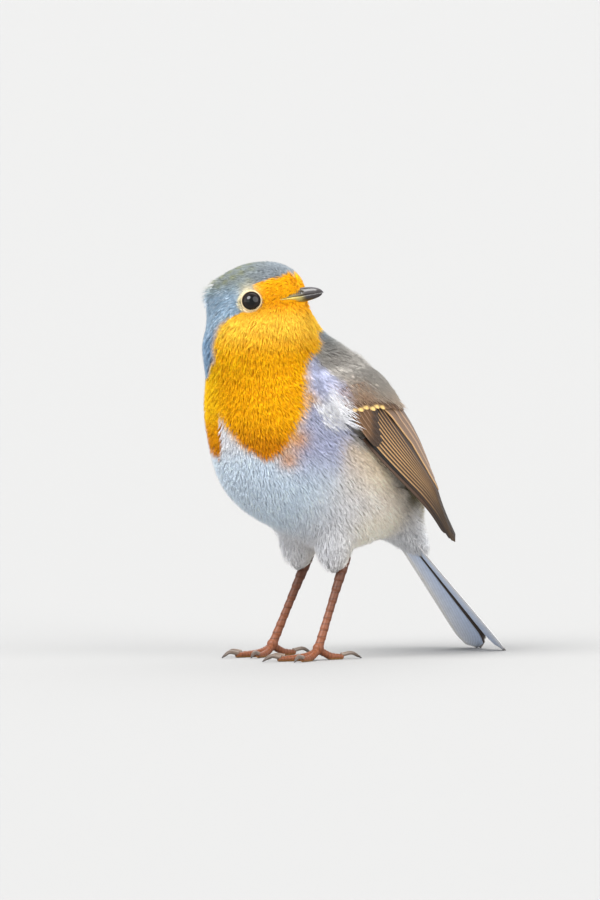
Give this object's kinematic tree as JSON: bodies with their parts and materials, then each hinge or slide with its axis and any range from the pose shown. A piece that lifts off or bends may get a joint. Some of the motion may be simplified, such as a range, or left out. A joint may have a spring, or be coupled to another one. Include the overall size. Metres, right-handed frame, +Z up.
{
  "type": "european robin",
  "caption": "Life-size still model of a robin standing alert, head turned over its left shoulder, wings folded, tail resting on the floor.",
  "frame": {"origin": "middle of the bounding box on the floor plane, between the feet and the tail tip", "axes": "+X to the bird's left, -Y the way its trunk faces, +Z up; the head looks over the left shoulder"},
  "size_m": [0.052, 0.099, 0.1137],
  "materials": {
    "crown_plumage": "soft matt feathers, slate grey to olive brown",
    "breast_plumage": "soft matt feathers, bright orange",
    "body_plumage": "soft matt feathers, white, blue grey, buff and olive brown",
    "wing_feathers": "satin flight feathers, dark brown with golden buff edges",
    "tail_feathers": "satin tail feathers, grey brown with paler edges",
    "leg_skin": "scaled horny skin, reddish brown",
    "horn": "polished dark horn",
    "eye": "wet gloss, almost black"
  },
  "bodies": {
    "root": {"head": "crown_plumage", "neck": "breast_plumage", "trunk": "body_plumage", "eye_right": "eye", "eye_left": "eye", "bill_upper": "horn", "bill_lower": "horn", "tail": "tail_feathers", "wing_left": "wing_feathers", "wing_right": "wing_feathers", "thigh_left": "body_plumage", "thigh_right": "body_plumage", "shank_left": "leg_skin", "shank_right": "leg_skin", "foot_left": "leg_skin", "foot_right": "leg_skin", "claw_inner_left": "horn", "claw_middle_left": "horn", "claw_outer_left": "horn", "claw_hind_left": "horn", "claw_inner_right": "horn", "claw_middle_right": "horn", "claw_outer_right": "horn", "claw_hind_right": "horn"}
  },
  "joints": []
}
